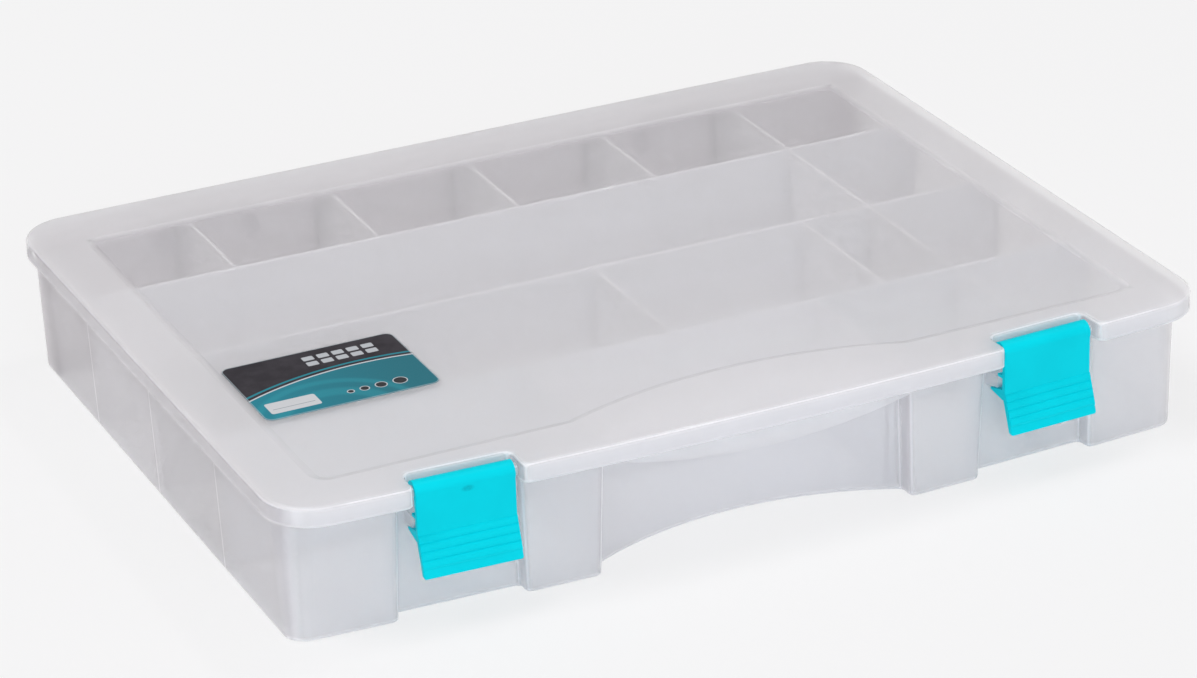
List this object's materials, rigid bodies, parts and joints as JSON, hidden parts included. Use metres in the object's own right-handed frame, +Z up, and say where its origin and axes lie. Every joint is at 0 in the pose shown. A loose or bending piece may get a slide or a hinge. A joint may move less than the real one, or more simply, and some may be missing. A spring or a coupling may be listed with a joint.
{
  "type": "organizer box",
  "caption": "Flat frosted organizer box with a bowed front, hinged lid with a sunk window, snap latches, a handle recess and partition plates that sort small items.",
  "frame": {"origin": "middle of the box in plan, at the underside of the tub", "axes": "+X along the front from the left latch to the right latch, +Y from the front to the hinges, +Z up"},
  "size_m": [0.33, 0.2626, 0.0507],
  "materials": {
    "frosted_tub": "satin",
    "frosted_lid": "satin",
    "frosted_plate": "satin",
    "latch": "satin",
    "label": "printed film"
  },
  "bodies": {
    "base": {"base_tub": "frosted_tub", "long_wall_front": "frosted_plate", "long_wall_middle": "frosted_plate", "long_wall_back": "frosted_plate", "divider_front_1": "frosted_plate", "divider_front_2": "frosted_plate", "divider_front_3": "frosted_plate", "divider_third_1": "frosted_plate", "divider_third_2": "frosted_plate", "divider_third_3": "frosted_plate", "divider_second_1": "frosted_plate", "divider_back_1": "frosted_plate", "divider_back_2": "frosted_plate", "divider_back_3": "frosted_plate", "divider_back_4": "frosted_plate", "divider_back_5": "frosted_plate"},
    "lid": {"lid": "frosted_lid", "label": "label"},
    "latch_left": {"latch_left": "latch"},
    "latch_right": {"latch_right": "latch"}
  },
  "joints": [
    {"name": "lid_hinge", "type": "hinge", "parent": "base", "child": "lid", "pos_m": [0, 0.12776, 0.04], "axis": [-1, 0, 0], "range_deg": [0, 180]},
    {"name": "latch_left_hinge", "type": "hinge", "parent": "lid", "child": "latch_left", "pos_m": [-0.10339, -0.12202, 0.0464], "axis": [-0.999, 0.0449, 0], "range_deg": [0, 110]},
    {"name": "latch_right_hinge", "type": "hinge", "parent": "lid", "child": "latch_right", "pos_m": [0.10339, -0.12202, 0.0464], "axis": [-0.999, -0.0449, 0], "range_deg": [0, 110]}
  ]
}
